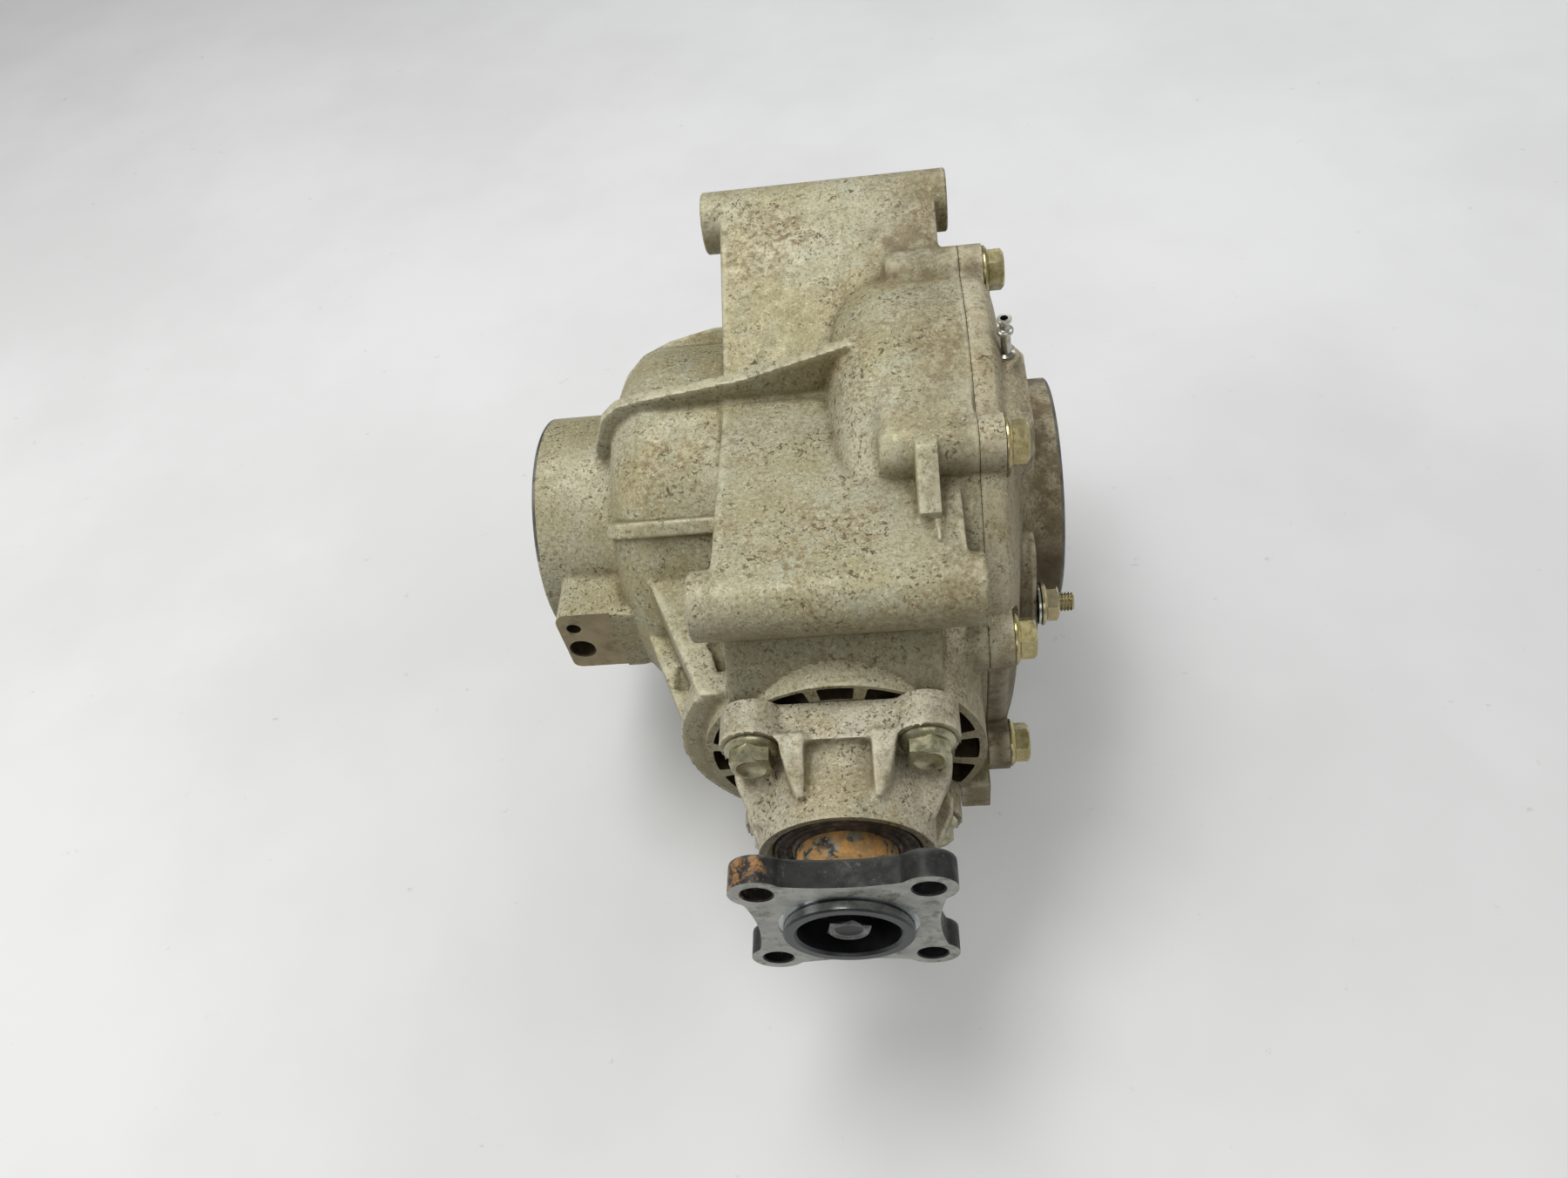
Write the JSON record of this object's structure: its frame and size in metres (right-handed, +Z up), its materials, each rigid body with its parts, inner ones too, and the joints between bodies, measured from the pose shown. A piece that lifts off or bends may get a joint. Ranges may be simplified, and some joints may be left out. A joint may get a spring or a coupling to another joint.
{
  "type": "bevel differential gearbox",
  "caption": "Right-angle final drive: cast case and bolted side cover with open axle bells, an eared input flange and mounting tubes, and bevel gears and a differential inside.",
  "frame": {"origin": "middle of the footprint's bounding box, at the height of the lowest point", "axes": "+X from the left bell to the side cover along the axle, +Y from the input flange towards the axle along the pinion shaft, +Z up"},
  "size_m": [0.2162, 0.3018, 0.222],
  "materials": {
    "casting": "sand-cast, dusty",
    "cover": "sand-cast, grimy",
    "carrier": "die-cast, dusty",
    "zinc": "yellow zinc plate on steel",
    "bright": "bright zinc plate",
    "flange": "forged, faces machined",
    "gear": "ground, oiled",
    "race": "ground and polished",
    "cage": "machined",
    "iron": "as cast, faces machined",
    "rubber": "moulded, oily",
    "gasket": "matt sealant"
  },
  "bodies": {
    "housing": {"main_case": "casting", "side_cover": "cover", "pinion_carrier": "carrier", "cover_gasket": "gasket", "carrier_oring": "rubber", "cover_bolt_1": "zinc", "cover_bolt_2": "zinc", "cover_bolt_3": "zinc", "cover_bolt_4": "zinc", "cover_bolt_5": "zinc", "cover_bolt_6": "zinc", "cover_bolt_7": "zinc", "cover_bolt_8": "zinc", "carrier_bolt_1": "zinc", "carrier_bolt_2": "zinc", "carrier_bolt_3": "zinc", "carrier_bolt_4": "zinc", "breather_fitting": "bright", "drain_plug": "zinc", "fill_plug": "zinc", "bracket_stud": "zinc", "stud_washer": "bright", "stud_nut": "zinc", "front_mount_sleeve": "iron", "top_mount_sleeve": "iron", "pinion_front_bearing_outer": "race", "pinion_rear_bearing_outer": "race", "left_diff_bearing_outer": "race", "right_diff_bearing_outer": "race", "pinion_seal": "rubber", "left_axle_seal": "rubber", "right_axle_seal": "rubber"},
    "input_shaft": {"input_flange": "flange", "flange_bolt": "bright", "flange_washer": "bright", "pinion_gear": "gear", "pinion_spacer": "iron", "pinion_front_bearing_inner": "race", "pinion_rear_bearing_inner": "race"},
    "differential": {"ring_gear": "gear", "ring_gear_bolt_1": "iron", "ring_gear_bolt_2": "iron", "ring_gear_bolt_3": "iron", "ring_gear_bolt_4": "iron", "ring_gear_bolt_5": "iron", "ring_gear_bolt_6": "iron", "differential_case": "iron", "spider_shaft": "gear", "left_diff_bearing_inner": "race", "right_diff_bearing_inner": "race"},
    "left_side": {"left_side_gear": "gear"},
    "right_side": {"right_side_gear": "gear"},
    "planet_1": {"planet_gear_1": "gear"},
    "planet_2": {"planet_gear_2": "gear"},
    "pinion_front_rollers": {"pinion_front_bearing_rollers": "cage"},
    "pinion_rear_rollers": {"pinion_rear_bearing_rollers": "cage"},
    "left_diff_rollers": {"left_diff_bearing_rollers": "cage"},
    "right_diff_rollers": {"right_diff_bearing_rollers": "cage"}
  },
  "joints": [
    {"name": "ring_spin", "type": "hinge", "parent": "housing", "child": "differential", "pos_m": [0.01665, 0.04415, 0.111], "axis": [1, 0, 0], "continuous": true},
    {"name": "pinion_spin", "type": "hinge", "parent": "housing", "child": "input_shaft", "pos_m": [0.01665, -0.14705, 0.111], "axis": [0, 1, 0], "continuous": true},
    {"name": "left_side_gear_spin", "type": "hinge", "parent": "differential", "child": "left_side", "pos_m": [0.01665, 0.04415, 0.111], "axis": [1, 0, 0], "continuous": true},
    {"name": "right_side_gear_spin", "type": "hinge", "parent": "differential", "child": "right_side", "pos_m": [0.01665, 0.04415, 0.111], "axis": [1, 0, 0], "continuous": true},
    {"name": "planet_gear_1_spin", "type": "hinge", "parent": "differential", "child": "planet_1", "pos_m": [0.01665, 0.04415, 0.111], "axis": [0, 0, 1], "continuous": true},
    {"name": "planet_gear_2_spin", "type": "hinge", "parent": "differential", "child": "planet_2", "pos_m": [0.01665, 0.04415, 0.111], "axis": [0, 0, 1], "continuous": true},
    {"name": "pinion_front_roller_spin", "type": "hinge", "parent": "housing", "child": "pinion_front_rollers", "pos_m": [0.01665, -0.14705, 0.111], "axis": [0, 1, 0], "continuous": true},
    {"name": "pinion_rear_roller_spin", "type": "hinge", "parent": "housing", "child": "pinion_rear_rollers", "pos_m": [0.01665, -0.14705, 0.111], "axis": [0, 1, 0], "continuous": true},
    {"name": "left_diff_roller_spin", "type": "hinge", "parent": "housing", "child": "left_diff_rollers", "pos_m": [0.01665, 0.04415, 0.111], "axis": [1, 0, 0], "continuous": true},
    {"name": "right_diff_roller_spin", "type": "hinge", "parent": "housing", "child": "right_diff_rollers", "pos_m": [0.01665, 0.04415, 0.111], "axis": [1, 0, 0], "continuous": true}
  ],
  "couplings": [
    {"joint": "pinion_spin", "follows": "ring_spin", "ratio": 3.6},
    {"joint": "right_side_gear_spin", "follows": "left_side_gear_spin", "ratio": -1},
    {"joint": "planet_gear_1_spin", "follows": "left_side_gear_spin", "ratio": 1.6},
    {"joint": "planet_gear_2_spin", "follows": "left_side_gear_spin", "ratio": -1.6},
    {"joint": "left_diff_roller_spin", "follows": "ring_spin", "ratio": 0.45},
    {"joint": "right_diff_roller_spin", "follows": "ring_spin", "ratio": 0.45},
    {"joint": "pinion_front_roller_spin", "follows": "ring_spin", "ratio": 1.565},
    {"joint": "pinion_rear_roller_spin", "follows": "ring_spin", "ratio": 1.575}
  ]
}
